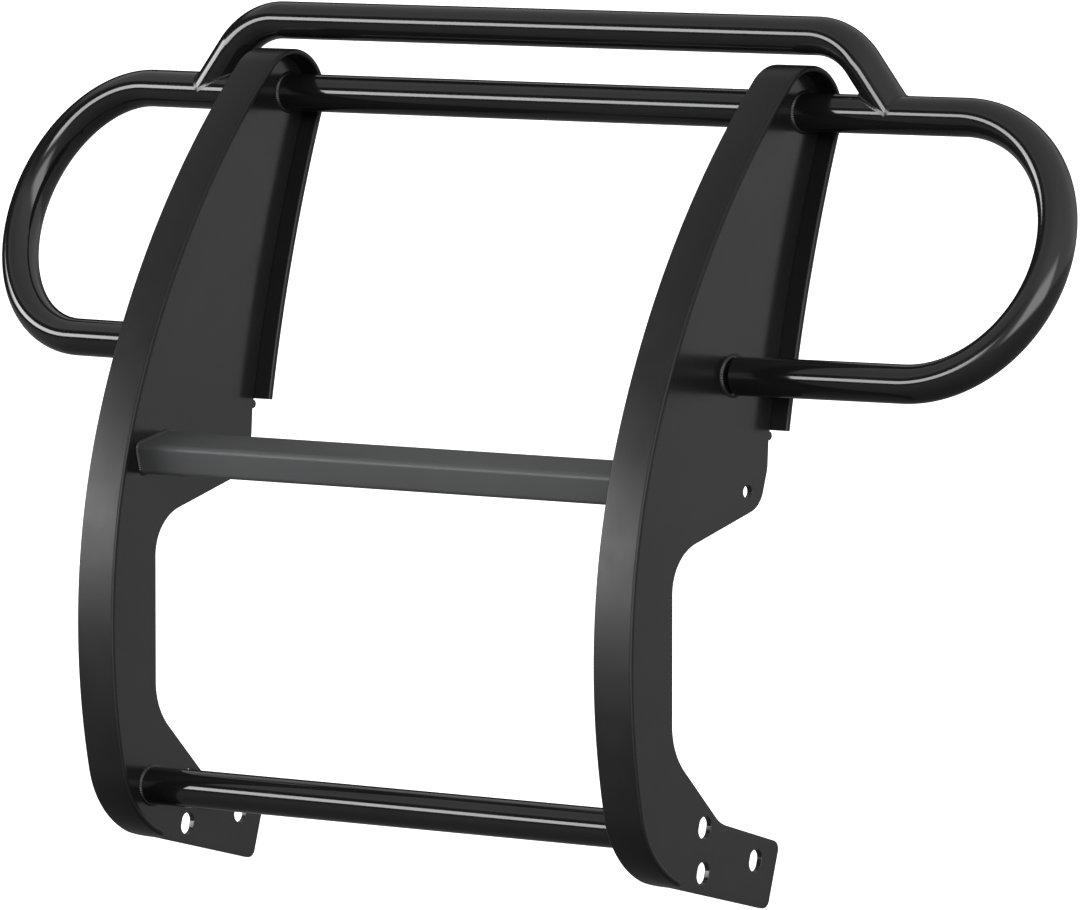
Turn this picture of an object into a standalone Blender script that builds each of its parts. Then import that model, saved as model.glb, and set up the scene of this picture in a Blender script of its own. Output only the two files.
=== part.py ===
"""Front grille guard for a pickup truck: a one-piece weldment of two side plates with flat-bar rims,
two crossbars, a rectangular centre bar, a top hoop and two headlight loops.

Metres, +Z up. X runs across the truck, with "right" at +X, and +Y points back to the grille.
The side view's datum, y = z = 0, is the upper crossbar's axis, and X = 0 is the plane of symmetry.
The last step moves the whole guard so that the world origin is under the middle of its box.
"""

import math

import bmesh
import bpy
from mathutils import Euler, Vector

# Fits
GAP = 0.0003  # between neighbouring pieces
SWEPT_TUBE_GAP = 0.0006  # round a tube that leaves its plate at a slant
MERGE = 0.00002  # points closer than this are one point

# Cutting tools
TRIM_MARGIN = 0.02  # how far a tool or an untrimmed tube reaches past the cut
BEYOND_GUARD = 1.0  # from the datum, past the guard's farthest point

# Round tube
TUBE_OD = 0.0381
TUBE_WALL = 0.0025
TUBE_SIDES = 20

# Side plates
PLATE_T = 0.00635
PLATE_SPACING = 0.6774  # between the middles of the two plates

# Flat-bar rim, bent round each plate's edge. Radii are to its outer face. An angle is how far
# the outer face's normal points above straight ahead, so 90 is the top of the rim.
STRIP_T = 0.00635
STRIP_W = 0.0485
STRIP_EDGE_R = 0.0028
STRIP_TOE_CORNER_R = 0.021  # the toe end is a rounded tongue
RIM_TOP_CENTER = (-0.0153, -0.0017)
RIM_TOP_R = 0.0465
RIM_UPPER_R = 0.8866
RIM_MIDDLE_R = 0.693
RIM_TOE_R = 0.0946
RIM_UPPER_START = 43.9
RIM_MIDDLE_START = 18.4
RIM_TOE_START = -12.2
RIM_TOE_END = -77.5
LEG_R = 1.693  # hollow side faces back
LEG_START = 199.8
LEG_END = 189.6
RIM_STEPS = (8, 18, 12, 12, 8)  # straight lines in each arc: leg, top, upper, middle, toe

# Side plate outline behind the rim, in the side view
LEG_STOP_DROP = 0.006  # from the rim's end to the middle of the stop that locates it
LEG_STOP_R = 0.0045
BRACE_PAD_BEND = (-0.0574, -0.345)
BRACE_PAD_CORNER = (-0.0683, -0.3816)
NOTCH_Y = -0.200
NOTCH_TOP_Z = -0.4224
NOTCH_BOTTOM_Z = -0.6115
TAB_NECK = (-0.128, -0.6851)
TAB_REAR_TOP = (-0.038, -0.7108)
TAB_DEPTH = 0.067
TAB_TILT = 16.0
BRACE_PAD_BEND_R = 0.030
BRACE_PAD_CORNER_R = 0.028
NOTCH_TOP_R = 0.049
NOTCH_BOTTOM_R = 0.065
TAB_NECK_R = 0.035
TAB_CORNER_R = 0.009

# Bolt holes
BRACE_HOLE = (-0.0878, -0.366)
BRACE_HOLE_D = 0.0127
SLOT_W = 0.0175
SLOT_L = 0.0225
SLOT_TILT = 14.0
SLOTS = ((-0.1514, -0.6873), (-0.154, -0.7314), (-0.075, -0.7258))

# Bars between the plates
LOWER_CROSSBAR_AT = (-0.205, -0.6885)
CENTER_BAR_AT = (-0.201, -0.3542)
CENTER_BAR_DEPTH = 0.0508
CENTER_BAR_HEIGHT = 0.03175
CENTER_BAR_WALL = 0.0025
CENTER_BAR_CORNER_R = 0.006
CENTER_BAR_TILT = 14.0

# Top hoop, in a plane through the loops' top runs that leans back
HOOP_RISE = 0.0725
HOOP_OVERHANG = 0.0483  # from a plate's middle out to the corner where the top's axis meets a leg's
HOOP_LEG_ANGLE = 49.0  # below level
HOOP_BEND_R = 0.080
HOOP_LEAN = 6.5

# Headlight loops: a top run, a half-circle bend and a bottom run, in a plane that is swept back and tilted
LOOP_AT = (-0.0033, -0.0015)  # the top run's axis at the plate's middle
LOOP_RUN = 0.1938
LOOP_BEND_R = 0.1362
LOOP_TILT = 23.0
LOOP_SWEEP = 4.4

# Fillet welds
WELD_LEG = 0.0025
WELD_BULGE = 0.6  # of the leg: 0.5 would be a flat fillet
WELD_SIDES = 6

COLLECTION = "front_grille_guard"
SIDES = (("left", -1), ("right", 1))


def remove_everything():
    for obj in list(bpy.data.objects):
        bpy.data.objects.remove(obj, do_unlink=True)


def new_collection(name):
    collection = bpy.data.collections.new(name)
    bpy.context.scene.collection.children.link(collection)
    return collection


def coat(name, color, roughness):
    material = bpy.data.materials.new(name)
    material.use_nodes = True
    shader = material.node_tree.nodes["Principled BSDF"]
    shader.inputs["Base Color"].default_value = (*color, 1.0)
    shader.inputs["Roughness"].default_value = roughness
    shader.inputs["Metallic"].default_value = 0.0
    return material


def add_part(obj, material):
    PARTS.objects.link(obj)
    obj.parent = ROOT
    obj.data.materials.clear()
    obj.data.materials.append(material)
    return obj


def add_cutter(obj):
    CUTTERS.objects.link(obj)
    obj.parent = ROOT
    obj.hide_render = True
    obj.display_type = "WIRE"
    return obj


# Outlines


def facing(angle):
    """Unit vector in the side view whose angle is measured up from straight ahead."""
    a = math.radians(angle)
    return Vector((-math.cos(a), math.sin(a)))


def arc(center, radius, start, end, steps):
    return [center + radius * facing(start + (end - start) * i / steps) for i in range(steps + 1)]


def rim_centers():
    """Centres of the rim's arcs, from the leg at the back, over the top, to the toe."""
    top = Vector(RIM_TOP_CENTER)
    leg = top + (RIM_TOP_R + LEG_R) * facing(LEG_START)
    upper = top - (RIM_UPPER_R - RIM_TOP_R) * facing(RIM_UPPER_START)
    middle = upper - (RIM_MIDDLE_R - RIM_UPPER_R) * facing(RIM_MIDDLE_START)
    toe = middle - (RIM_TOE_R - RIM_MIDDLE_R) * facing(RIM_TOE_START)
    return leg, top, upper, middle, toe


def rim_outline(inset, toe_end=RIM_TOE_END):
    """The rim's outer face moved in by inset, from its end on the leg to its end at the toe."""
    leg, top, upper, middle, toe = rim_centers()
    leg_steps, top_steps, upper_steps, middle_steps, toe_steps = RIM_STEPS
    points = arc(leg, LEG_R + inset, LEG_END - 180, LEG_START - 180, leg_steps)
    points += arc(top, RIM_TOP_R - inset, LEG_START, RIM_UPPER_START, top_steps)[1:]
    points += arc(upper, RIM_UPPER_R - inset, RIM_UPPER_START, RIM_MIDDLE_START, upper_steps)[1:]
    points += arc(middle, RIM_MIDDLE_R - inset, RIM_MIDDLE_START, RIM_TOE_START, middle_steps)[1:]
    points += arc(toe, RIM_TOE_R - inset, RIM_TOE_START, toe_end, toe_steps)[1:]
    return points


def rounded(corners, degrees_per_step=12):
    """Closed outline through (point, radius) corners, with an arc at each corner that has a radius."""
    points = []
    count = len(corners)
    for i, (corner, radius) in enumerate(corners):
        corner = Vector(corner)
        if not radius:
            points.append(corner)
            continue
        back = (Vector(corners[i - 1][0]) - corner).normalized()
        ahead = (Vector(corners[(i + 1) % count][0]) - corner).normalized()
        half = back.angle(ahead) / 2
        center = corner + (back + ahead).normalized() * radius / math.sin(half)
        start = corner + back * radius / math.tan(half) - center
        turn = start.angle_signed(corner + ahead * radius / math.tan(half) - center)
        steps = max(2, math.ceil(abs(math.degrees(turn)) / degrees_per_step))
        for k in range(steps + 1):
            angle = -turn * k / steps
            cos, sin = math.cos(angle), math.sin(angle)
            points.append(center + Vector((start.x * cos - start.y * sin, start.x * sin + start.y * cos)))
    return points


def circle(center, radius, steps=24):
    return arc(Vector(center), radius, 0, 360 - 360 / steps, steps - 1)


def slot(center, width, length, tilt):
    """Obround whose long axis leans back by tilt from straight up."""
    up = Vector((math.sin(math.radians(tilt)), math.cos(math.radians(tilt))))
    reach = (length - width) / 2 * up
    lower = arc(Vector(center) - reach, width / 2, tilt - 180, tilt, 8)
    upper = arc(Vector(center) + reach, width / 2, tilt, tilt + 180, 8)
    return lower + upper


def rounded_rectangle(center, depth, height, radius, tilt):
    """Rectangle whose rear edge is raised by tilt."""
    a = math.radians(tilt)
    along = Vector((math.cos(a), math.sin(a))) * depth / 2
    across = Vector((-math.sin(a), math.cos(a))) * height / 2
    center = Vector(center)
    corners = (center - along - across, center + along - across,
               center + along + across, center - along + across)
    return rounded([(corner, radius) for corner in corners], 18)


# Solids


def extruded(name, outlines, thickness, x):
    """Curve object: the first side-view outline with the rest as holes, made thickness wide about x."""
    data = bpy.data.curves.new(name, "CURVE")
    data.dimensions = "2D"
    data.fill_mode = "BOTH"
    data.extrude = thickness / 2
    for outline in outlines:
        spline = data.splines.new("POLY")
        spline.points.add(len(outline) - 1)
        spline.use_cyclic_u = True
        for point, place in zip(spline.points, outline):
            point.co = (place[0], place[1], 0, 1)
    obj = bpy.data.objects.new(name, data)
    obj.rotation_euler = Euler((math.pi / 2, 0, math.pi / 2))
    obj.location = (x, 0, 0)
    return obj


def round_edges(obj, width, segments):
    weld = obj.modifiers.new("weld caps", "WELD")
    weld.merge_threshold = MERGE
    bevel = obj.modifiers.new("rounded edges", "BEVEL")
    bevel.width = width
    bevel.segments = segments
    bevel.limit_method = "ANGLE"
    bevel.angle_limit = math.radians(60)


def swept(name, route, radius, sides, closed=False):
    """Curve object: a round section along route, with filled caps unless it is a closed ring."""
    data = bpy.data.curves.new(name, "CURVE")
    data.dimensions = "3D"
    data.bevel_depth = radius
    data.bevel_resolution = (sides - 4) // 2
    data.use_fill_caps = not closed
    spline = data.splines.new("POLY")
    spline.points.add(len(route) - 1)
    spline.use_cyclic_u = closed
    for point, place in zip(spline.points, route):
        point.co = (*place, 1)
    return bpy.data.objects.new(name, data)


def tube(name, route):
    """Curve object: a hollow round tube with open ends."""
    obj = swept(name, route, TUBE_OD / 2, TUBE_SIDES)
    obj.data.use_fill_caps = False
    wall = obj.modifiers.new("wall", "SOLIDIFY")
    wall.thickness = TUBE_WALL
    wall.offset = -1
    wall.use_even_offset = True
    return obj


def as_mesh(obj):
    """The curve object's evaluated shape as a mesh object with welded seams, in the curve's place."""
    holder = bpy.context.scene.collection
    holder.objects.link(obj)
    bpy.context.view_layer.update()
    graph = bpy.context.evaluated_depsgraph_get()
    mesh = bpy.data.meshes.new_from_object(obj.evaluated_get(graph))
    shape = bmesh.new()
    shape.from_mesh(mesh)
    bmesh.ops.remove_doubles(shape, verts=shape.verts, dist=MERGE)
    bmesh.ops.recalc_face_normals(shape, faces=shape.faces)
    shape.to_mesh(mesh)
    shape.free()
    made = bpy.data.objects.new(obj.name, mesh)
    made.matrix_world = obj.matrix_world
    name = obj.name
    bpy.data.objects.remove(obj, do_unlink=True)
    made.name = name
    return made


def box(name, low, high):
    mesh = bpy.data.meshes.new(name)
    shape = bmesh.new()
    bmesh.ops.create_cube(shape, size=1)
    bmesh.ops.scale(shape, vec=Vector(high) - Vector(low), verts=shape.verts)
    bmesh.ops.translate(shape, vec=(Vector(high) + Vector(low)) / 2, verts=shape.verts)
    shape.to_mesh(mesh)
    shape.free()
    return bpy.data.objects.new(name, mesh)


def cut(obj, cutter, operation="DIFFERENCE"):
    boolean = obj.modifiers.new(cutter.name, "BOOLEAN")
    boolean.operation = operation
    boolean.object = cutter
    boolean.solver = "EXACT"


def shade_round(obj):
    obj.data.shade_smooth()
    obj.data.set_sharp_from_angle(angle=math.radians(35))


# Places that several pieces share


def plate_x(side):
    return side * PLATE_SPACING / 2


def outer_face_x(side):
    return side * (PLATE_SPACING / 2 + PLATE_T / 2 + GAP)


def inner_face_x(side):
    return side * (PLATE_SPACING / 2 - PLATE_T / 2 - GAP)


def loop_axes(side):
    """Unit vectors in the loop's plane: out along the runs, and down from the top run to the bottom one."""
    sweep = math.radians(LOOP_SWEEP)
    tilt = math.radians(LOOP_TILT)
    out = Vector((side * math.cos(sweep), math.sin(sweep), 0))
    down = Vector((0, -math.sin(tilt), -math.cos(tilt)))
    down = (down - down.dot(out) * out).normalized()
    return out, down


def loop_point(side, along, drop):
    out, down = loop_axes(side)
    return Vector((plate_x(side), *LOOP_AT)) + along * out + drop * down


def at_plate(point, out, x):
    """Where the line through point along out reaches x."""
    return point + out * (x - point.x) / out.x


def hoop_point(x, rise):
    lean = math.radians(HOOP_LEAN)
    return Vector((x, rise * math.tan(lean), rise))


# Pieces


def side_plate(name, side, material):
    step_in = STRIP_T + GAP
    toe = rim_centers()[-1]
    toe_end = RIM_TOE_END - math.degrees(GAP / RIM_TOE_R)
    edge = rim_outline(step_in, toe_end=toe_end)
    leg_end = edge[0]
    down_leg = (edge[0] - edge[1]).normalized()
    outward = Vector((-down_leg.y, down_leg.x))
    stop = leg_end + LEG_STOP_DROP * down_leg
    stop_arc = [stop + LEG_STOP_R * (math.cos(a) * -down_leg + math.sin(a) * outward)
                for a in (math.pi * k / 6 for k in range(7))]
    tab_down = TAB_DEPTH * Vector((-math.sin(math.radians(TAB_TILT)), -math.cos(math.radians(TAB_TILT))))
    tab_rear_top = Vector(TAB_REAR_TOP)
    back = [(toe + RIM_TOE_R * facing(toe_end), 0),
            (tab_rear_top + tab_down, TAB_CORNER_R),
            (tab_rear_top, TAB_CORNER_R),
            (Vector(TAB_NECK), TAB_NECK_R),
            (Vector((NOTCH_Y, NOTCH_BOTTOM_Z)), NOTCH_BOTTOM_R),
            (Vector((NOTCH_Y, NOTCH_TOP_Z)), NOTCH_TOP_R),
            (Vector(BRACE_PAD_CORNER), BRACE_PAD_CORNER_R),
            (Vector(BRACE_PAD_BEND), BRACE_PAD_BEND_R)]
    corners = [(point, 0) for point in edge] + back + [(point, 0) for point in reversed(stop_arc)]
    holes = [circle(BRACE_HOLE, BRACE_HOLE_D / 2, 20)]
    holes += [slot(center, SLOT_W, SLOT_L, SLOT_TILT) for center in SLOTS]
    plate = extruded(name, [rounded(corners)] + holes, PLATE_T, plate_x(side))
    return add_part(plate, material)


def rim_strip(name, side, material):
    outline = rim_outline(0) + list(reversed(rim_outline(STRIP_T)))
    strip = as_mesh(extruded(name, [outline], STRIP_W, plate_x(side)))
    cut(strip, TOE_TRIM[side])
    round_edges(strip, STRIP_EDGE_R, 2)
    return add_part(strip, material)


def crossbar(name, at, material):
    ends = [Vector((inner_face_x(side), *at)) for side in (-1, 1)]
    return add_part(tube(name, ends), material)


def center_bar(name, material):
    outer = rounded_rectangle(CENTER_BAR_AT, CENTER_BAR_DEPTH, CENTER_BAR_HEIGHT,
                              CENTER_BAR_CORNER_R, CENTER_BAR_TILT)
    inner = rounded_rectangle(CENTER_BAR_AT, CENTER_BAR_DEPTH - 2 * CENTER_BAR_WALL,
                              CENTER_BAR_HEIGHT - 2 * CENTER_BAR_WALL,
                              CENTER_BAR_CORNER_R - CENTER_BAR_WALL, CENTER_BAR_TILT)
    length = inner_face_x(1) - inner_face_x(-1)
    return add_part(extruded(name, [outer, inner], length, 0), material)


def headlight_loop(name, side, material):
    route = [loop_point(side, -TRIM_MARGIN, 0)]
    steps = 16
    for i in range(steps + 1):
        a = math.pi * i / steps
        route.append(loop_point(side, LOOP_RUN + LOOP_BEND_R * math.sin(a), LOOP_BEND_R * (1 - math.cos(a))))
    route.append(loop_point(side, -TRIM_MARGIN, 2 * LOOP_BEND_R))
    loop = as_mesh(tube(name, route))
    cut(loop, INBOARD_OF[side])
    shade_round(loop)
    return add_part(loop, material)


def hoop_route():
    leg = math.radians(HOOP_LEG_ANGLE)
    tangent = HOOP_BEND_R * math.tan(leg / 2)
    corner_x = PLATE_SPACING / 2 + HOOP_OVERHANG
    foot_x = corner_x + HOOP_RISE / math.tan(leg)
    steps = 6
    half = []
    for i in range(steps + 1):
        a = leg * i / steps
        x = corner_x - tangent + HOOP_BEND_R * math.sin(a)
        half.append(hoop_point(x, HOOP_RISE - HOOP_BEND_R * (1 - math.cos(a))))
    out, _ = loop_axes(1)
    foot = hoop_point(foot_x, 0)
    half.append(Vector((foot.x, *at_plate(loop_point(1, 0, 0), out, foot.x).yz)))
    mirrored = [Vector((-p.x, p.y, p.z)) for p in reversed(half)]
    return mirrored + half


def hoop_leg(side):
    """Where a hoop leg's axis meets the loop's axis, and the unit vector up the leg."""
    route = hoop_route()
    foot, above = (route[-1], route[-2]) if side > 0 else (route[0], route[1])
    return foot, (above - foot).normalized()


def top_hoop(name, material):
    hoop = as_mesh(tube(name, hoop_route()))
    for _, side in SIDES:
        cut(hoop, RUN_KEEP_OUT[side])
    shade_round(hoop)
    return add_part(hoop, material)


def weld_leg_inside_lobe(center, clearance):
    """Leg of a weld about a tube that ends inside the rim's top lobe, where the lobe may leave less room."""
    off_center = (Vector(center) - Vector(RIM_TOP_CENTER)).length
    room = RIM_TOP_R - STRIP_T - GAP - off_center - TUBE_OD / 2 - clearance
    return min(WELD_LEG, room)


def ring_weld(name, center, x, toward, material, leg=WELD_LEG, clearance=GAP):
    """Fillet turned about a tube that ends on a plate's face at x, and spreading toward +X or -X."""
    inner = TUBE_OD / 2 + clearance
    bulge = WELD_BULGE * leg
    profile = [(inner, leg), (inner + bulge, bulge), (inner + leg, 0), (inner, 0)]
    mesh = bpy.data.meshes.new(name)
    mesh.from_pydata([(r, 0, h) for r, h in profile], [(0, 1), (1, 2), (2, 3), (3, 0)], [])
    weld = bpy.data.objects.new(name, mesh)
    weld.location = (x, *center)
    weld.rotation_euler = Euler((0, toward * math.pi / 2, 0))
    screw = weld.modifiers.new("turn", "SCREW")
    screw.axis = "Z"
    screw.steps = TUBE_SIDES
    screw.render_steps = TUBE_SIDES
    screw.use_merge_vertices = True
    screw.merge_threshold = MERGE
    return add_part(weld, material)


def loop_weld(name, side, drop, material):
    """Fillet where the loop's run that lies drop below its top run meets the plate's outer face."""
    out, _ = loop_axes(side)
    face = outer_face_x(side)
    seat = at_plate(loop_point(side, 0, drop), out, face + side * WELD_LEG / 2)
    center = (seat.y, seat.z)
    leg = WELD_LEG if drop else weld_leg_inside_lobe(center, SWEPT_TUBE_GAP)
    ring_weld(name, center, face, side, material, leg, SWEPT_TUBE_GAP)


def center_bar_weld(name, side, material):
    """Bead round the rectangular bar where it meets the plate's inner face."""
    seam = rounded_rectangle(CENTER_BAR_AT, CENTER_BAR_DEPTH, CENTER_BAR_HEIGHT,
                             CENTER_BAR_CORNER_R, CENTER_BAR_TILT)
    route = [Vector((inner_face_x(side), *point)) for point in seam]
    bead = as_mesh(swept(name, route, WELD_LEG, WELD_SIDES, closed=True))
    cut(bead, BAR_KEEP_OUT)
    cut(bead, OUTBOARD_OF[side])
    return add_part(bead, material)


def hoop_weld(name, side, material):
    """Bead along the saddle where a hoop leg lands on a loop's top run."""
    foot, leg = hoop_leg(side)
    run, _ = loop_axes(side)
    across = leg.cross(run).normalized()
    level = across.cross(leg)
    rise = run.cross(across)
    radius = TUBE_OD / 2
    seam = []
    steps = 24
    for i in range(steps):
        a = 2 * math.pi * i / steps
        around = radius * (math.cos(a) * level + math.sin(a) * across)
        height = radius * abs(math.cos(a))
        seam.append(foot + around + leg * (height - around.dot(rise)) / leg.dot(rise))
    bead = as_mesh(swept(name, seam, WELD_LEG, WELD_SIDES, closed=True))
    cut(bead, RUN_KEEP_OUT[side])
    cut(bead, LEG_KEEP_OUT[side])
    return add_part(bead, material)


# Cutters


def slab(name, x_a, x_b):
    """Everything between two planes across the truck."""
    low_x, high_x = sorted((x_a, x_b))
    return add_cutter(box(name, (low_x, -BEYOND_GUARD, -BEYOND_GUARD), (high_x, BEYOND_GUARD, BEYOND_GUARD)))


def toe_trim(name, side):
    """What is cut away round the rounded tongue at the strip's toe end. The tool's own origin is
    halfway along the rounded length, its first axis runs across the strip and its second toward the end."""
    half, corner = STRIP_W / 2, STRIP_TOE_CORNER_R
    middle = RIM_TOE_END + math.degrees(corner / RIM_TOE_R) / 2
    tangent = facing(middle - 90)
    seat = rim_centers()[-1] + RIM_TOE_R * facing(middle)
    straight = half - corner
    steps = 6
    left = [(-straight - corner * math.cos(a), corner * math.sin(a) - corner / 2)
            for a in (math.pi / 2 * i / steps for i in range(steps + 1))]
    right = [(-x, y) for x, y in reversed(left)]
    low, high, wide = -corner / 2, TRIM_MARGIN, half + TRIM_MARGIN
    outline = [(-wide, low)] + left + right + [(wide, low), (wide, high), (-wide, high)]
    trim = extruded(name, [outline], 2 * TRIM_MARGIN, 0)
    trim.rotation_euler = Euler((math.atan2(tangent.y, tangent.x), 0, 0))
    trim.location = (plate_x(side), *seat)
    return add_cutter(as_mesh(trim))


def run_keep_out(name, side):
    route = [loop_point(side, 0, 0), loop_point(side, LOOP_RUN, 0)]
    return add_cutter(as_mesh(swept(name, route, TUBE_OD / 2 + GAP, 2 * TUBE_SIDES)))


def leg_keep_out(name, side):
    foot, leg = hoop_leg(side)
    line = [foot - leg * TUBE_OD, foot + leg * 2 * TUBE_OD]
    return add_cutter(as_mesh(swept(name, line, TUBE_OD / 2 + GAP, 2 * TUBE_SIDES)))


def bar_keep_out(name):
    outline = rounded_rectangle(CENTER_BAR_AT, CENTER_BAR_DEPTH + 2 * GAP, CENTER_BAR_HEIGHT + 2 * GAP,
                                CENTER_BAR_CORNER_R + GAP, CENTER_BAR_TILT)
    return add_cutter(as_mesh(extruded(name, [outline], PLATE_SPACING, 0)))


def stand_on_origin():
    """Moves the root so that the guard's box stands on z = 0 with its middle over the origin."""
    bpy.context.view_layer.update()
    graph = bpy.context.evaluated_depsgraph_get()
    points = []
    for obj in PARTS.objects:
        evaluated = obj.evaluated_get(graph)
        mesh = evaluated.to_mesh()
        points += [evaluated.matrix_world @ vertex.co for vertex in mesh.vertices]
        evaluated.to_mesh_clear()
    low_y, high_y = min(p.y for p in points), max(p.y for p in points)
    ROOT.location = (0, -(low_y + high_y) / 2, -min(p.z for p in points))
    bpy.context.view_layer.update()


remove_everything()
PARTS = new_collection(COLLECTION)
CUTTERS = new_collection("cutters")
ROOT = bpy.data.objects.new("guard_datum", None)
bpy.context.scene.collection.objects.link(ROOT)

PLATE_COAT = coat("plate_coat", (0.035, 0.036, 0.037), 0.42)
STRIP_COAT = coat("strip_coat", (0.020, 0.020, 0.021), 0.30)
TUBE_COAT = coat("tube_coat", (0.018, 0.018, 0.019), 0.25)
WELD_COAT = coat("weld_coat", (0.020, 0.020, 0.021), 0.38)

INBOARD_OF = {side: slab("inboard_of_" + label, 0, outer_face_x(side)) for label, side in SIDES}
OUTBOARD_OF = {side: slab("outboard_of_" + label, inner_face_x(side), side * BEYOND_GUARD)
               for label, side in SIDES}
TOE_TRIM = {side: toe_trim("toe_trim_" + label, side) for label, side in SIDES}
RUN_KEEP_OUT = {side: run_keep_out("run_of_" + label, side) for label, side in SIDES}
LEG_KEEP_OUT = {side: leg_keep_out("leg_of_" + label, side) for label, side in SIDES}
BAR_KEEP_OUT = bar_keep_out("bar_clearance")

crossbar("upper_crossbar", (0, 0), TUBE_COAT)
crossbar("lower_crossbar", LOWER_CROSSBAR_AT, TUBE_COAT)
center_bar("center_bar", TUBE_COAT)
top_hoop("top_hoop", TUBE_COAT)
for label, side in SIDES:
    side_plate(label + "_side_plate", side, PLATE_COAT)
    rim_strip(label + "_rim_strip", side, STRIP_COAT)
    headlight_loop(label + "_headlight_loop", side, TUBE_COAT)
    ring_weld(label + "_upper_crossbar_weld", (0, 0), inner_face_x(side), -side, WELD_COAT,
              weld_leg_inside_lobe((0, 0), GAP))
    ring_weld(label + "_lower_crossbar_weld", LOWER_CROSSBAR_AT, inner_face_x(side), -side, WELD_COAT)
    loop_weld(label + "_loop_top_weld", side, 0, WELD_COAT)
    loop_weld(label + "_loop_bottom_weld", side, 2 * LOOP_BEND_R, WELD_COAT)
    center_bar_weld(label + "_center_bar_weld", side, WELD_COAT)
    hoop_weld(label + "_hoop_weld", side, WELD_COAT)
stand_on_origin()
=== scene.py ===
"""Looks of the front grille guard: fine meshes of its welded pieces, black powder coat, studio, camera."""

import math

import bmesh
import bpy
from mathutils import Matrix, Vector


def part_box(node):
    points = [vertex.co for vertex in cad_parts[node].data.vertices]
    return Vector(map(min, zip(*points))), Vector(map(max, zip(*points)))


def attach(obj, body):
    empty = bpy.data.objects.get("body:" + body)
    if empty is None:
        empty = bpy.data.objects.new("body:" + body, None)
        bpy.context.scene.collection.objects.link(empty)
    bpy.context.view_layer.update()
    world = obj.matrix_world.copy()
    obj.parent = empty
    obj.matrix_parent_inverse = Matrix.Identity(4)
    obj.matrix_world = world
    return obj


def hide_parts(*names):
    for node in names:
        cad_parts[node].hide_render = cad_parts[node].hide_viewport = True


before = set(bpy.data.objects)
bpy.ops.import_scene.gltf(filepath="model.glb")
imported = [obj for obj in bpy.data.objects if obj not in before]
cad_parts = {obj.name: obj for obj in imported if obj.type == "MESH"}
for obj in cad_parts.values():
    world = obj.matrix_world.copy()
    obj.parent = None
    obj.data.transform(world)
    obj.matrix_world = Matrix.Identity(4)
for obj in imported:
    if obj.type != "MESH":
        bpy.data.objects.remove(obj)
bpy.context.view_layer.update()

# The side view's datum is the upper crossbar's axis. Lengths are in metres and repeat the CAD's.
LOW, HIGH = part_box("upper_crossbar")
DATUM = (LOW + HIGH) / 2
SIDES = (("left", -1), ("right", 1))

TUBE_R = 0.01905
PLATE_T = 0.00635
PLATE_X = 0.3387  # to a plate's middle
OUTER_X = PLATE_X + PLATE_T / 2
INNER_X = PLATE_X - PLATE_T / 2

# Rim: radii are to its outer face, and angles are how far that face's normal points above straight ahead
STRIP_T = 0.00635
STRIP_W = 0.0485
STRIP_EDGE_R = 0.0028
STRIP_END_CHAMFER = 0.0006
TOE_CORNER_R = 0.021
RIM_TOP_CENTER = (-0.0153, -0.0017)
RIM_TOP_R = 0.0465
RIM_UPPER_R = 0.8866
RIM_MIDDLE_R = 0.693
RIM_TOE_R = 0.0946
RIM_UPPER_START = 43.9
RIM_MIDDLE_START = 18.4
RIM_TOE_START = -12.2
RIM_TOE_END = -77.5
LEG_R = 1.693
LEG_START = 199.8
LEG_END = 189.6

# Side plate outline behind the rim
LEG_STOP_DROP = 0.006
LEG_STOP_R = 0.0045
BRACE_PAD_BEND = (-0.0574, -0.345)
BRACE_PAD_CORNER = (-0.0683, -0.3816)
NOTCH_Y = -0.200
NOTCH_TOP_Z = -0.4224
NOTCH_BOTTOM_Z = -0.6115
TAB_NECK = (-0.128, -0.6851)
TAB_REAR_TOP = (-0.038, -0.7108)
TAB_DEPTH = 0.067
TAB_TILT = 16.0
BRACE_PAD_BEND_R = 0.030
BRACE_PAD_CORNER_R = 0.028
NOTCH_TOP_R = 0.049
NOTCH_BOTTOM_R = 0.065
TAB_NECK_R = 0.035
TAB_CORNER_R = 0.009
PLATE_EDGE_R = 0.0006

# Bolt holes
BRACE_HOLE = (-0.0878, -0.366)
BRACE_HOLE_D = 0.0127
SLOT_W = 0.0175
SLOT_L = 0.0225
SLOT_TILT = 14.0
SLOTS = ((-0.1514, -0.6873), (-0.154, -0.7314), (-0.075, -0.7258))

# Bars between the plates
LOWER_CROSSBAR_AT = (-0.205, -0.6885)
CENTER_BAR_AT = (-0.201, -0.3542)
CENTER_BAR_DEPTH = 0.0508
CENTER_BAR_HEIGHT = 0.03175
CENTER_BAR_CORNER_R = 0.006
CENTER_BAR_TILT = 14.0

# Top hoop
HOOP_RISE = 0.0725
HOOP_OVERHANG = 0.0483
HOOP_LEG_ANGLE = 49.0
HOOP_BEND_R = 0.080
HOOP_LEAN = 6.5

# Headlight loops
LOOP_AT = (-0.0033, -0.0015)
LOOP_RUN = 0.1938
LOOP_BEND_R = 0.1362
LOOP_TILT = 23.0
LOOP_SWEEP = 4.4

# Welds
WELD_LEG = 0.0024
RIPPLE_PITCH = 0.0022
RIPPLE_STEPS = 6  # stations in one ripple
RIPPLE_SWELL = 0.035  # of the leg
WELD_ROOT = 0.0004  # how far a bead reaches behind its corner, into the metal
HOOP_RIPPLES = 72  # round one hoop leg

# How finely curves are drawn. Angles are in degrees.
TUBE_SIDES = 96
RUN_STEPS = 60  # along a bar between the plates
LOOP_RUN_STEPS = 30
HOOP_TOP_STEPS = 30
HOOP_LEG_STEPS = 8
TONGUE_STEPS = 24
BEND_STEP = 2.0
STATION_SPACING = 0.0055
STATION_TURN = 2.5
SMOOTH_ANGLE = 32.0
OVERLAP = 0.0002  # how far a bar's end reaches into its plate
LOOP_INSET = 0.001  # from a plate's outer face in to a loop's end
MERGE = 0.00001


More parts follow.
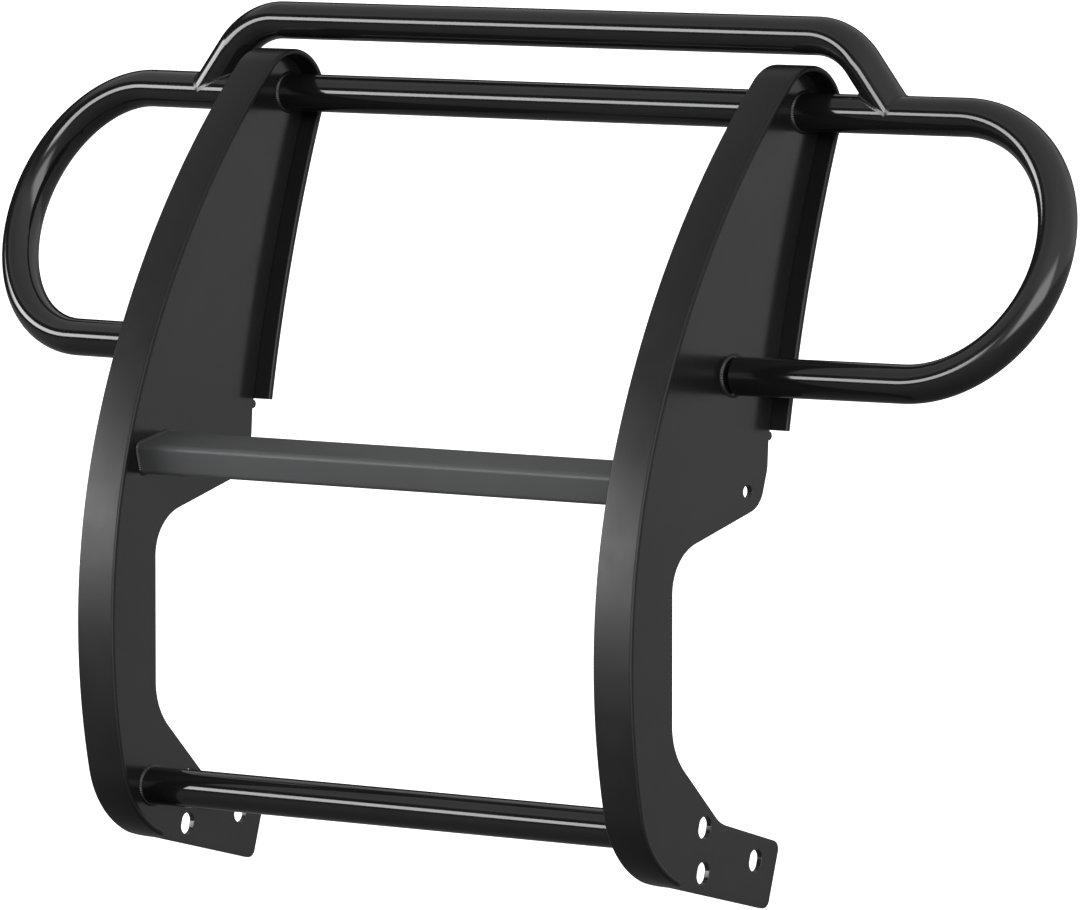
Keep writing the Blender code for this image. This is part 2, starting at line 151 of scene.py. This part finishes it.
# Side-view outlines, as (y, z) from the datum


def facing(angle):
    """Unit vector in the side view whose angle is measured up from straight ahead."""
    a = math.radians(angle)
    return Vector((-math.cos(a), math.sin(a)))


def arc(center, radius, start, end, steps):
    return [center + radius * facing(start + (end - start) * i / steps) for i in range(steps + 1)]


def rim_arcs(toe_end=RIM_TOE_END):
    """(centre, radius, start, end, +1 or -1 for which way its normal points) of each arc, leg to toe."""
    top = Vector(RIM_TOP_CENTER)
    leg = top + (RIM_TOP_R + LEG_R) * facing(LEG_START)
    upper = top - (RIM_UPPER_R - RIM_TOP_R) * facing(RIM_UPPER_START)
    middle = upper - (RIM_MIDDLE_R - RIM_UPPER_R) * facing(RIM_MIDDLE_START)
    toe = middle - (RIM_TOE_R - RIM_MIDDLE_R) * facing(RIM_TOE_START)
    return ((leg, LEG_R, LEG_END - 180, LEG_START - 180, -1),
            (top, RIM_TOP_R, LEG_START, RIM_UPPER_START, 1),
            (upper, RIM_UPPER_R, RIM_UPPER_START, RIM_MIDDLE_START, 1),
            (middle, RIM_MIDDLE_R, RIM_MIDDLE_START, RIM_TOE_START, 1),
            (toe, RIM_TOE_R, RIM_TOE_START, toe_end, 1))


def rim_stations(toe_end=RIM_TOE_END):
    """(point on the outer face, outward normal) along the rim, from the leg's end to the toe's."""
    stations = []
    for center, radius, start, end, way in rim_arcs(toe_end):
        length = radius * math.radians(abs(end - start))
        steps = max(6, math.ceil(length / STATION_SPACING), math.ceil(abs(end - start) / STATION_TURN))
        first = 1 if stations else 0
        for i in range(first, steps + 1):
            normal = facing(start + (end - start) * i / steps)
            stations.append((center + radius * normal, way * normal))
    return stations


def rounded(corners, degrees_per_step=4):
    """Closed outline through (point, radius) corners, with an arc at each corner that has a radius."""
    points = []
    count = len(corners)
    for i, (corner, radius) in enumerate(corners):
        corner = Vector(corner)
        if not radius:
            points.append(corner)
            continue
        back = (Vector(corners[i - 1][0]) - corner).normalized()
        ahead = (Vector(corners[(i + 1) % count][0]) - corner).normalized()
        half = back.angle(ahead) / 2
        center = corner + (back + ahead).normalized() * radius / math.sin(half)
        start = corner + back * radius / math.tan(half) - center
        turn = start.angle_signed(corner + ahead * radius / math.tan(half) - center)
        steps = max(2, math.ceil(abs(math.degrees(turn)) / degrees_per_step))
        for k in range(steps + 1):
            angle = -turn * k / steps
            cos, sin = math.cos(angle), math.sin(angle)
            points.append(center + Vector((start.x * cos - start.y * sin, start.x * sin + start.y * cos)))
    return points


def circle(center, radius, steps=48):
    return arc(Vector(center), radius, 0, 360 - 360 / steps, steps - 1)


def slot(center):
    """Obround whose long axis leans back by its tilt from straight up."""
    tilt = math.radians(SLOT_TILT)
    reach = (SLOT_L - SLOT_W) / 2 * Vector((math.sin(tilt), math.cos(tilt)))
    lower = arc(Vector(center) - reach, SLOT_W / 2, SLOT_TILT - 180, SLOT_TILT, 20)
    upper = arc(Vector(center) + reach, SLOT_W / 2, SLOT_TILT, SLOT_TILT + 180, 20)
    return lower + upper


def plate_outline():
    edge = [point - STRIP_T * normal for point, normal in rim_stations()]
    down_leg = (edge[0] - edge[1]).normalized()
    outward = Vector((-down_leg.y, down_leg.x))
    stop = edge[0] + LEG_STOP_DROP * down_leg
    stop_arc = [stop + LEG_STOP_R * (math.cos(a) * -down_leg + math.sin(a) * outward)
                for a in (math.pi * k / 16 for k in range(17))]
    tilt = math.radians(TAB_TILT)
    tab_rear_top = Vector(TAB_REAR_TOP)
    tab_rear_bottom = tab_rear_top - TAB_DEPTH * Vector((math.sin(tilt), math.cos(tilt)))
    toe_tip = rim_stations()[-1][0]
    back = [(toe_tip, 0),
            (tab_rear_bottom, TAB_CORNER_R),
            (tab_rear_top, TAB_CORNER_R),
            (TAB_NECK, TAB_NECK_R),
            ((NOTCH_Y, NOTCH_BOTTOM_Z), NOTCH_BOTTOM_R),
            ((NOTCH_Y, NOTCH_TOP_Z), NOTCH_TOP_R),
            (BRACE_PAD_CORNER, BRACE_PAD_CORNER_R),
            (BRACE_PAD_BEND, BRACE_PAD_BEND_R)]
    return rounded([(p, 0) for p in edge] + back + [(p, 0) for p in reversed(stop_arc)])


def bar_section():
    a = math.radians(CENTER_BAR_TILT)
    along = Vector((math.cos(a), math.sin(a))) * CENTER_BAR_DEPTH / 2
    across = Vector((-math.sin(a), math.cos(a))) * CENTER_BAR_HEIGHT / 2
    c = Vector(CENTER_BAR_AT)
    corners = (c - along - across, c + along - across, c + along + across, c - along + across)
    return rounded([(corner, CENTER_BAR_CORNER_R) for corner in corners], 7)


# Meshes


def mesh_piece(name, points, faces):
    mesh = bpy.data.meshes.new(name)
    mesh.from_pydata([Vector(p) + DATUM for p in points], [], faces)
    return finished(name, mesh)


def finished(name, mesh):
    shape = bmesh.new()
    shape.from_mesh(mesh)
    bmesh.ops.recalc_face_normals(shape, faces=shape.faces)
    shape.to_mesh(mesh)
    shape.free()
    mesh.shade_smooth()
    mesh.set_sharp_from_angle(angle=math.radians(SMOOTH_ANGLE))
    piece = bpy.data.objects.new(name, mesh)
    bpy.context.scene.collection.objects.link(piece)
    return piece


def loft(name, rings, closed=False):
    """Skin over rings of equal count. The ends are capped unless the rings close on themselves."""
    count = len(rings[0])
    points = [p for ring in rings for p in ring]
    pairs = [(i, i + 1) for i in range(len(rings) - 1)]
    if closed:
        pairs.append((len(rings) - 1, 0))
    faces = [(a * count + k, a * count + (k + 1) % count, b * count + (k + 1) % count, b * count + k)
             for a, b in pairs for k in range(count)]
    if not closed:
        faces.append(tuple(range(count)))
        faces.append(tuple(range(len(points) - count, len(points))))
    return mesh_piece(name, points, faces)


def tube(name, route, plane_normal):
    """Round tube along route, whose bends lie close to one plane."""
    rings = []
    for i, point in enumerate(route):
        tangent = (route[min(i + 1, len(route) - 1)] - route[max(i - 1, 0)]).normalized()
        side = (plane_normal - plane_normal.dot(tangent) * tangent).normalized()
        across = tangent.cross(side)
        rings.append([point + TUBE_R * (math.cos(a) * side + math.sin(a) * across)
                      for a in (2 * math.pi * k / TUBE_SIDES for k in range(TUBE_SIDES))])
    return loft(name, rings)


def rounded_flat(name, outlines, thickness, x, edge_r):
    """Flat plate whose outlines, the first solid and the rest holes, have softly rounded edges."""
    data = bpy.data.curves.new(name, "CURVE")
    data.dimensions = "2D"
    data.fill_mode = "BOTH"
    data.extrude = thickness / 2 - edge_r
    data.bevel_depth = edge_r
    data.bevel_resolution = 2
    data.offset = -edge_r
    for outline in outlines:
        spline = data.splines.new("POLY")
        spline.points.add(len(outline) - 1)
        spline.use_cyclic_u = True
        for point, place in zip(spline.points, outline):
            point.co = (place[0], place[1], 0, 1)
    holder = bpy.data.objects.new(name + "_outline", data)
    bpy.context.scene.collection.objects.link(holder)
    bpy.context.view_layer.update()
    graph = bpy.context.evaluated_depsgraph_get()
    mesh = bpy.data.meshes.new_from_object(holder.evaluated_get(graph))
    bpy.data.objects.remove(holder, do_unlink=True)
    for vertex in mesh.vertices:
        y, z, across = vertex.co
        vertex.co = DATUM + Vector((x + across, y, z))
    shape = bmesh.new()
    shape.from_mesh(mesh)
    bmesh.ops.remove_doubles(shape, verts=shape.verts, dist=MERGE)
    shape.to_mesh(mesh)
    shape.free()
    plate = finished(name, mesh)
    normals = plate.modifiers.new("flat faces stay flat", "WEIGHTED_NORMAL")
    normals.keep_sharp = True
    return plate


def bead(name, stations, closed=True):
    """Rippled fillet bead. A station is (corner, way up one surface, way along the other, distance run)."""
    rings = []
    for corner, up, along, run in stations:
        swell = math.sin(2 * math.pi * run / RIPPLE_PITCH)
        leg = WELD_LEG * (1 + RIPPLE_SWELL * swell)
        crown = 0.62 + 0.05 * swell
        rings.append([corner - WELD_ROOT * (up + along),
                      corner + leg * up,
                      corner + leg * (0.90 * up + 0.22 * along),
                      corner + leg * crown * (up + along),
                      corner + leg * (0.22 * up + 0.90 * along),
                      corner + leg * along])
    return loft(name, rings, closed)


# Pieces


def side_plate(label, side):
    holes = [circle(BRACE_HOLE, BRACE_HOLE_D / 2)] + [slot(center) for center in SLOTS]
    outlines = [plate_outline()] + holes
    return rounded_flat(label + "_plate_skin", outlines, PLATE_T, side * PLATE_X, PLATE_EDGE_R)


def strip_section(point, normal, half_width, shrink=0.0):
    """Rounded rectangle across the strip at a station, wound one way round."""
    half_t = STRIP_T / 2 - shrink
    half_w = max(half_width - shrink, 0.0008)
    r = min(STRIP_EDGE_R, half_t - 0.0001, half_w - 0.0001)
    middle = point - normal * STRIP_T / 2
    ring = []
    for sign_w, sign_t, start in ((1, 1, 0), (-1, 1, 90), (-1, -1, 180), (1, -1, 270)):
        for k in range(7):
            a = math.radians(start + 15 * k)
            w = sign_w * (half_w - r) + r * math.cos(a)
            t = sign_t * (half_t - r) + r * math.sin(a)
            ring.append((w, middle.x + normal.x * t, middle.y + normal.y * t))
    return ring


def rim_strip(label, side):
    half_w = STRIP_W / 2
    tongue = math.degrees(TOE_CORNER_R / RIM_TOE_R)
    leg_end, leg_normal = rim_stations()[0]
    sections = [strip_section(leg_end, leg_normal, half_w, STRIP_END_CHAMFER)]
    sections += [strip_section(point, normal, half_w) for point, normal in rim_stations(RIM_TOE_END + tongue)]
    center, radius, _, _, _ = rim_arcs()[-1]
    for k in range(1, TONGUE_STEPS + 1):
        a = math.pi / 2 * k / TONGUE_STEPS
        normal = facing(RIM_TOE_END + tongue * (1 - math.sin(a)))
        half = half_w - TOE_CORNER_R * (1 - math.cos(a))
        sections.append(strip_section(center + radius * normal, normal, half))
    rings = [[Vector((side * PLATE_X + x, y, z)) for x, y, z in ring] for ring in sections]
    return loft(label + "_rim_skin", rings)


def places_across():
    """Even places from just inside one plate to just inside the other."""
    reach = INNER_X + OVERLAP
    return [-reach + 2 * reach * i / RUN_STEPS for i in range(RUN_STEPS + 1)]


def crossbar(name, at):
    return tube(name, [Vector((x, *at)) for x in places_across()], Vector((0, 0, 1)))


def center_bar():
    section = bar_section()
    return loft("center_bar_skin", [[Vector((x, p.x, p.y)) for p in section] for x in places_across()])


def loop_axes(side):
    sweep = math.radians(LOOP_SWEEP)
    tilt = math.radians(LOOP_TILT)
    out = Vector((side * math.cos(sweep), math.sin(sweep), 0))
    down = Vector((0, -math.sin(tilt), -math.cos(tilt)))
    down = (down - down.dot(out) * out).normalized()
    return out, down


def loop_point(side, along, drop):
    out, down = loop_axes(side)
    return Vector((side * PLATE_X, *LOOP_AT)) + along * out + drop * down


def loop_start():
    """Where along a loop's run its tube ends, just inside the plate's outer face."""
    return (PLATE_T / 2 - LOOP_INSET) / math.cos(math.radians(LOOP_SWEEP))


def headlight_loop(label, side):
    out, down = loop_axes(side)
    start = loop_start()
    run = [start + (LOOP_RUN - start) * i / LOOP_RUN_STEPS for i in range(LOOP_RUN_STEPS)]
    route = [loop_point(side, along, 0) for along in run]
    bend = math.ceil(180 / BEND_STEP)
    for i in range(bend + 1):
        a = math.pi * i / bend
        route.append(loop_point(side, LOOP_RUN + LOOP_BEND_R * math.sin(a), LOOP_BEND_R * (1 - math.cos(a))))
    route += [loop_point(side, along, 2 * LOOP_BEND_R) for along in reversed(run)]
    return tube(label + "_loop_skin", route, out.cross(down))


def hoop_point(x, rise):
    return Vector((x, rise * math.tan(math.radians(HOOP_LEAN)), rise))


def hoop_foot():
    """Where the right leg's axis meets the right loop's."""
    leg = math.radians(HOOP_LEG_ANGLE)
    x = PLATE_X + HOOP_OVERHANG + HOOP_RISE / math.tan(leg)
    out, _ = loop_axes(1)
    run = loop_point(1, 0, 0)
    return run + out * (x - run.x) / out.x


def hoop_half():
    """The hoop's axis from the middle of the truck to its right foot."""
    leg = math.radians(HOOP_LEG_ANGLE)
    tangent = HOOP_BEND_R * math.tan(leg / 2)
    straight_end = PLATE_X + HOOP_OVERHANG - tangent
    points = [hoop_point(straight_end * i / HOOP_TOP_STEPS, HOOP_RISE) for i in range(HOOP_TOP_STEPS)]
    bend = math.ceil(HOOP_LEG_ANGLE / BEND_STEP)
    for i in range(bend + 1):
        a = leg * i / bend
        points.append(hoop_point(straight_end + HOOP_BEND_R * math.sin(a),
                                 HOOP_RISE - HOOP_BEND_R * (1 - math.cos(a))))
    last, foot = points[-1], hoop_foot()
    points += [last.lerp(foot, i / HOOP_LEG_STEPS) for i in range(1, HOOP_LEG_STEPS + 1)]
    return points


def top_hoop():
    half = hoop_half()
    mirrored = [Vector((-p.x, p.y, p.z)) for p in reversed(half[1:])]
    lean = math.radians(HOOP_LEAN)
    return tube("top_hoop_skin", mirrored + half, Vector((0, math.cos(lean), -math.sin(lean))))


def ring_bead(name, center, x, toward):
    """Bead round a tube that ends on a plate's face at x and runs off towards +X or -X."""
    around = math.ceil(2 * math.pi * TUBE_R / RIPPLE_PITCH)
    steps = RIPPLE_STEPS * around
    inward = Vector((toward, 0, 0))
    stations = []
    for i in range(steps):
        a = 2 * math.pi * i / steps
        radial = Vector((0, math.cos(a), math.sin(a)))
        corner = Vector((x, *center)) + TUBE_R * radial
        stations.append((corner, inward, radial, around * RIPPLE_PITCH * i / steps))
    return bead(name, stations)


def bar_bead(name, side):
    section = bar_section()
    middle = Vector(CENTER_BAR_AT)
    lengths = [0.0]
    ring = section + [section[0]]
    for p, q in zip(ring, ring[1:]):
        lengths.append(lengths[-1] + (q - p).length)
    around = round(lengths[-1] / RIPPLE_PITCH)
    steps = RIPPLE_STEPS * around
    stations = []
    for i in range(steps):
        run = lengths[-1] * i / steps
        k = max(j for j, length in enumerate(lengths[:-1]) if length <= run)
        share = (run - lengths[k]) / max(lengths[k + 1] - lengths[k], 1e-9)
        p = ring[k].lerp(ring[k + 1], share)
        edge = (ring[k + 1] - ring[k]).normalized()
        outward = Vector((-edge.y, edge.x))
        if outward.dot(p - middle) < 0:
            outward = -outward
        corner = Vector((side * INNER_X, p.x, p.y))
        stations.append((corner, Vector((-side, 0, 0)), Vector((0, outward.x, outward.y)),
                         around * RIPPLE_PITCH * i / steps))
    return bead(name, stations)


def hoop_bead(name, side):
    """Bead along the saddle where a hoop leg lands on a loop's top run."""
    half = hoop_half()
    foot, above = half[-1], half[-2]
    leg = (above - foot).normalized()
    leg.x *= side
    foot = Vector((side * foot.x, foot.y, foot.z))
    run, _ = loop_axes(side)
    across = leg.cross(run).normalized()
    level = across.cross(leg)
    rise = run.cross(across)
    steps = RIPPLE_STEPS * HOOP_RIPPLES
    stations = []
    for i in range(steps):
        a = 2 * math.pi * i / steps
        radial = math.cos(a) * level + math.sin(a) * across
        offset = TUBE_R * radial
        height = TUBE_R * abs(math.cos(a))
        corner = foot + offset + leg * (height - offset.dot(rise)) / leg.dot(rise)
        from_axis = corner - foot
        run_normal = (from_axis - from_axis.dot(run) * run).normalized()
        away = (radial - radial.dot(run_normal) * run_normal).normalized()
        up_leg = (leg - leg.dot(radial) * radial).normalized()
        stations.append((corner, up_leg, away, HOOP_RIPPLES * RIPPLE_PITCH * i / steps))
    return bead(name, stations)


# Materials


class Nodes:
    """Short calls for building one material's nodes."""

    def __init__(self, material):
        self.tree = material.node_tree
        self.shader = self.tree.nodes["Principled BSDF"]
        self.place = self.tree.nodes.new("ShaderNodeTexCoord").outputs["Object"]

    def link(self, output, target):
        self.tree.links.new(output, target)

    def noise(self, scale, detail, roughness=0.5):
        node = self.tree.nodes.new("ShaderNodeTexNoise")
        node.inputs["Scale"].default_value = scale
        node.inputs["Detail"].default_value = detail
        node.inputs["Roughness"].default_value = roughness
        self.link(self.place, node.inputs["Vector"])
        return node.outputs["Fac"]

    def cells(self, scale):
        node = self.tree.nodes.new("ShaderNodeTexVoronoi")
        node.feature = "SMOOTH_F1"
        node.inputs["Scale"].default_value = scale
        node.inputs["Smoothness"].default_value = 1.0
        self.link(self.place, node.inputs["Vector"])
        return node.outputs["Distance"]

    def ranged(self, value, low, high, from_low=0.3, from_high=0.7):
        node = self.tree.nodes.new("ShaderNodeMapRange")
        node.inputs["From Min"].default_value = from_low
        node.inputs["From Max"].default_value = from_high
        node.inputs["To Min"].default_value = low
        node.inputs["To Max"].default_value = high
        self.link(value, node.inputs["Value"])
        return node.outputs["Result"]

    def math(self, operation, a, b):
        node = self.tree.nodes.new("ShaderNodeMath")
        node.operation = operation
        for socket, value in zip(node.inputs, (a, b)):
            if isinstance(value, (int, float)):
                socket.default_value = value
            else:
                self.link(value, socket)
        return node.outputs["Value"]

    def mix(self, share, low, high):
        node = self.tree.nodes.new("ShaderNodeMix")
        node.data_type = "RGBA"
        self.link(share, node.inputs["Factor"])
        for socket, color in ((node.inputs["A"], low), (node.inputs["B"], high)):
            if isinstance(color, tuple):
                socket.default_value = (*color, 1.0)
            else:
                self.link(color, socket)
        return node.outputs["Result"]

    def bump(self, height, distance, strength, under=None):
        node = self.tree.nodes.new("ShaderNodeBump")
        node.inputs["Distance"].default_value = distance
        node.inputs["Strength"].default_value = strength
        self.link(height, node.inputs["Height"])
        if under:
            self.link(under, node.inputs["Normal"])
        return node.outputs["Normal"]


def near_black(level):
    """A hair bluer than neutral."""
    return (level, 1.02 * level, 1.04 * level)


def powder_coat(name, deep, pale, rough, peel, gloss):
    """Black powder coat: slow drift in tone, cloudy gloss, orange peel, fine grain, and a painted highlight
    that makes sharp edges paler.
    """
    material = bpy.data.materials.new(name)
    material.use_nodes = True
    n = Nodes(material)
    drift = n.ranged(n.noise(7.0, 3.0), 0.0, 1.0)
    tone = n.mix(drift, near_black(deep), near_black(pale))
    edges = n.tree.nodes.new("ShaderNodeNewGeometry").outputs["Pointiness"]
    # Painted highlight: sharp convex edges, broken up by noise, get a paler black that stands in for light
    # caught on them.
    painted_edge_highlight = n.math("MULTIPLY", n.ranged(edges, 0.0, 1.0, 0.53, 0.62), n.ranged(n.noise(90.0, 4.0), 0.1, 0.55))
    n.link(n.mix(painted_edge_highlight, tone, near_black(2.2 * pale)), n.shader.inputs["Base Color"])
    cloud = n.ranged(n.noise(26.0, 5.0, 0.6), -0.035, 0.035)
    speck = n.ranged(n.noise(900.0, 2.0), -0.03, 0.03)
    n.link(n.math("ADD", n.math("ADD", cloud, speck), rough), n.shader.inputs["Roughness"])
    peel_bump = n.bump(n.cells(260.0), 0.00012 * peel, 0.35)
    grain = n.bump(n.noise(1500.0, 3.0, 0.6), 0.00002 * peel, 0.4, peel_bump)
    n.link(grain, n.shader.inputs["Normal"])
    n.shader.inputs["Metallic"].default_value = 0.0
    n.shader.inputs["Specular IOR Level"].default_value = gloss
    return material


# Studio


def white_floor():
    mesh = bpy.data.meshes.new("floor")
    reach = 150.0
    mesh.from_pydata([(-reach, -reach, 0), (reach, -reach, 0), (reach, reach, 0), (-reach, reach, 0)], [],
                     [(0, 1, 2, 3)])
    floor = bpy.data.objects.new("floor", mesh)
    bpy.context.scene.collection.objects.link(floor)
    material = bpy.data.materials.new("pale_floor")
    material.use_nodes = True
    shader = material.node_tree.nodes["Principled BSDF"]
    shader.inputs["Base Color"].default_value = (0.80, 0.80, 0.80, 1.0)
    shader.inputs["Roughness"].default_value = 1.0
    shader.inputs["Specular IOR Level"].default_value = 0.0
    shader.inputs["Emission Color"].default_value = (1.0, 1.0, 1.0, 1.0)
    shader.inputs["Emission Strength"].default_value = 0.93
    mesh.materials.append(material)
    floor.visible_glossy = False
    floor.visible_diffuse = False


# Brightness of the studio round the guard by the height of the direction, from -1 straight down to 1
# straight up, on the truck's left and on its right
LEFT_WALL = ((-1.0, 0.10), (-0.70, 0.14), (-0.30, 0.27), (-0.10, 0.24), (-0.06, 0.02), (0.30, 0.02),
             (0.44, 0.04), (0.52, 0.62), (0.70, 0.48), (1.0, 0.55))
RIGHT_WALL = ((-1.0, 0.20), (-0.40, 0.35), (-0.115, 0.44), (-0.035, 0.98), (0.50, 1.0), (1.0, 0.80))
LOW_WINDOW = (0.048, 0.262)
WINDOW_BRIGHTNESS = 9.0
SIDE_WINDOW = (-0.12, 0.34)
SIDE_WINDOW_BRIGHTNESS = 3.6


class WorldNodes:
    """Short calls for building the studio's nodes."""

    def __init__(self, tree):
        self.tree = tree
        place = tree.nodes.new("ShaderNodeTexCoord").outputs["Generated"]
        split = tree.nodes.new("ShaderNodeSeparateXYZ")
        tree.links.new(place, split.inputs["Vector"])
        self.across = split.outputs["X"]
        self.back = split.outputs["Y"]
        self.up = split.outputs["Z"]

    def curve(self, knots):
        """Broken line through (height, brightness) knots."""
        top = max(level for _, level in knots)
        share = self.ramp(self.up, -1.0, 1.0, "LINEAR")
        node = self.tree.nodes.new("ShaderNodeFloatCurve")
        line = node.mapping.curves[0]
        line.points[0].location = (0.0, knots[0][1] / top)
        line.points[1].location = (1.0, knots[-1][1] / top)
        for height, level in knots[1:-1]:
            line.points.new((height + 1) / 2, level / top)
        for point in line.points:
            point.handle_type = "VECTOR"
        node.mapping.update()
        self.tree.links.new(share, node.inputs["Value"])
        return self.math("MULTIPLY", node.outputs["Value"], top)

    def ramp(self, value, low, high, kind="SMOOTHSTEP"):
        node = self.tree.nodes.new("ShaderNodeMapRange")
        node.interpolation_type = kind
        node.inputs["From Min"].default_value = low
        node.inputs["From Max"].default_value = high
        self.tree.links.new(value, node.inputs["Value"])
        return node.outputs["Result"]

    def math(self, operation, *values):
        node = self.tree.nodes.new("ShaderNodeMath")
        node.operation = operation
        for socket, value in zip(node.inputs, values):
            if isinstance(value, (int, float)):
                socket.default_value = value
            else:
                self.tree.links.new(value, socket)
        return node.outputs["Value"]

    def window(self, heights, edge, brightness, in_front, to_one_side):
        low, high = heights
        sill = self.ramp(self.up, low - edge, low + edge)
        lintel = self.ramp(self.up, high + edge, high - edge)
        between = self.math("MULTIPLY", sill, lintel)
        pane = self.math("MULTIPLY", between, self.math("MULTIPLY", in_front, to_one_side))
        return self.math("MULTIPLY", pane, brightness)


def studio_world():
    """A white backdrop for the camera, and soft walls with two long low windows for everything else."""
    world = bpy.data.worlds.new("studio")
    bpy.context.scene.world = world
    world.use_nodes = True
    tree = world.node_tree
    tree.nodes.clear()
    n = WorldNodes(tree)
    rightness = n.ramp(n.across, -0.55, 0.60)
    left = n.math("MULTIPLY", n.curve(LEFT_WALL), n.math("SUBTRACT", 1.0, rightness))
    right = n.math("MULTIPLY", n.curve(RIGHT_WALL), rightness)
    in_front = n.ramp(n.back, -0.10, -0.35)
    window = n.window(LOW_WINDOW, 0.010, WINDOW_BRIGHTNESS, in_front, n.ramp(n.across, 0.10, -0.25))
    side_window = n.window(SIDE_WINDOW, 0.10, SIDE_WINDOW_BRIGHTNESS, in_front, n.ramp(n.across, 0.25, 0.50))
    studio = tree.nodes.new("ShaderNodeBackground")
    walls = n.math("ADD", left, right)
    windows = n.math("ADD", window, side_window)
    tree.links.new(n.math("ADD", walls, windows), studio.inputs["Strength"])
    studio.inputs["Color"].default_value = (1.0, 1.0, 1.0, 1.0)
    backdrop = tree.nodes.new("ShaderNodeBackground")
    backdrop.inputs["Color"].default_value = (1.0, 1.0, 1.0, 1.0)
    backdrop.inputs["Strength"].default_value = 1.0
    seen = tree.nodes.new("ShaderNodeLightPath")
    choice = tree.nodes.new("ShaderNodeMixShader")
    tree.links.new(seen.outputs["Is Camera Ray"], choice.inputs["Fac"])
    tree.links.new(studio.outputs["Background"], choice.inputs[1])
    tree.links.new(backdrop.outputs["Background"], choice.inputs[2])
    output = tree.nodes.new("ShaderNodeOutputWorld")
    tree.links.new(choice.outputs["Shader"], output.inputs["Surface"])


CAMERA_AZIMUTH = 40.91
CAMERA_ELEVATION = 4.28
CAMERA_DISTANCE = 10.59
CAMERA_TARGET_DROP = 0.3519
LENS = 355.1


def photo_camera():
    a, e = math.radians(CAMERA_AZIMUTH), math.radians(CAMERA_ELEVATION)
    back = Vector((math.sin(a) * math.cos(e), -math.cos(a) * math.cos(e), math.sin(e)))
    data = bpy.data.cameras.new("photo_camera")
    data.lens = LENS
    data.sensor_width = 36.0
    data.clip_end = 500.0
    camera = bpy.data.objects.new("photo_camera", data)
    camera.location = DATUM - Vector((0, 0, CAMERA_TARGET_DROP)) + CAMERA_DISTANCE * back
    camera.rotation_euler = (-back).to_track_quat("-Z", "Y").to_euler()
    bpy.context.scene.collection.objects.link(camera)
    bpy.context.scene.camera = camera


def dress(piece, material, slot_name, *nodes):
    piece.data.materials.clear()
    piece.data.materials.append(material)
    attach(piece, "root")
    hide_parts(*nodes)


PLATE_COAT = powder_coat("plate_powder_coat", 0.0075, 0.0100, 0.20, 0.35, 0.50)
STRIP_COAT = powder_coat("strip_powder_coat", 0.0035, 0.0050, 0.36, 0.50, 0.30)
# Painted highlight: the centre bar has the same black powder coat as the tubes, made about ten times paler to
# stand in for the light its flat front face reflects.
BAR_COAT_PAINTED_HIGHLIGHT = powder_coat("bar_powder_coat_painted_highlight", 0.0590, 0.0660, 0.46, 0.60, 0.35)
TUBE_COAT = powder_coat("tube_powder_coat", 0.0060, 0.0080, 0.085, 0.18, 0.50)
WELD_COAT = powder_coat("weld_powder_coat", 0.0060, 0.0085, 0.20, 0.50, 0.45)

dress(crossbar("upper_crossbar_skin", (0, 0)), TUBE_COAT, "tube_coat", "upper_crossbar")
dress(crossbar("lower_crossbar_skin", LOWER_CROSSBAR_AT), TUBE_COAT, "tube_coat", "lower_crossbar")
# The bar's paler coat is a painted highlight, not a different paint.
dress(center_bar(), BAR_COAT_PAINTED_HIGHLIGHT, "tube_coat", "center_bar")
dress(top_hoop(), TUBE_COAT, "tube_coat", "top_hoop")
for label, side in SIDES:
    dress(side_plate(label, side), PLATE_COAT, "plate_coat", label + "_side_plate")
    dress(rim_strip(label, side), STRIP_COAT, "strip_coat", label + "_rim_strip")
    dress(headlight_loop(label, side), TUBE_COAT, "tube_coat", label + "_headlight_loop")
    for which, at in (("upper", (0, 0)), ("lower", LOWER_CROSSBAR_AT)):
        seam = f"{label}_{which}_crossbar_weld"
        dress(ring_bead(seam + "_bead", at, side * INNER_X, -side), WELD_COAT, "weld_coat", seam)
    for end, drop in (("top", 0), ("bottom", 2 * LOOP_BEND_R)):
        seam = f"{label}_loop_{end}_weld"
        out, _ = loop_axes(side)
        seat = loop_point(side, PLATE_T / 2 / abs(out.x), drop)
        weld = ring_bead(seam + "_bead", (seat.y, seat.z), side * OUTER_X, side)
        dress(weld, WELD_COAT, "weld_coat", seam)
    dress(bar_bead(label + "_center_bar_weld_bead", side), WELD_COAT, "weld_coat", label + "_center_bar_weld")
    dress(hoop_bead(label + "_hoop_weld_bead", side), WELD_COAT, "weld_coat", label + "_hoop_weld")

white_floor()
studio_world()
photo_camera()
bpy.context.scene.view_settings.view_transform = "Standard"
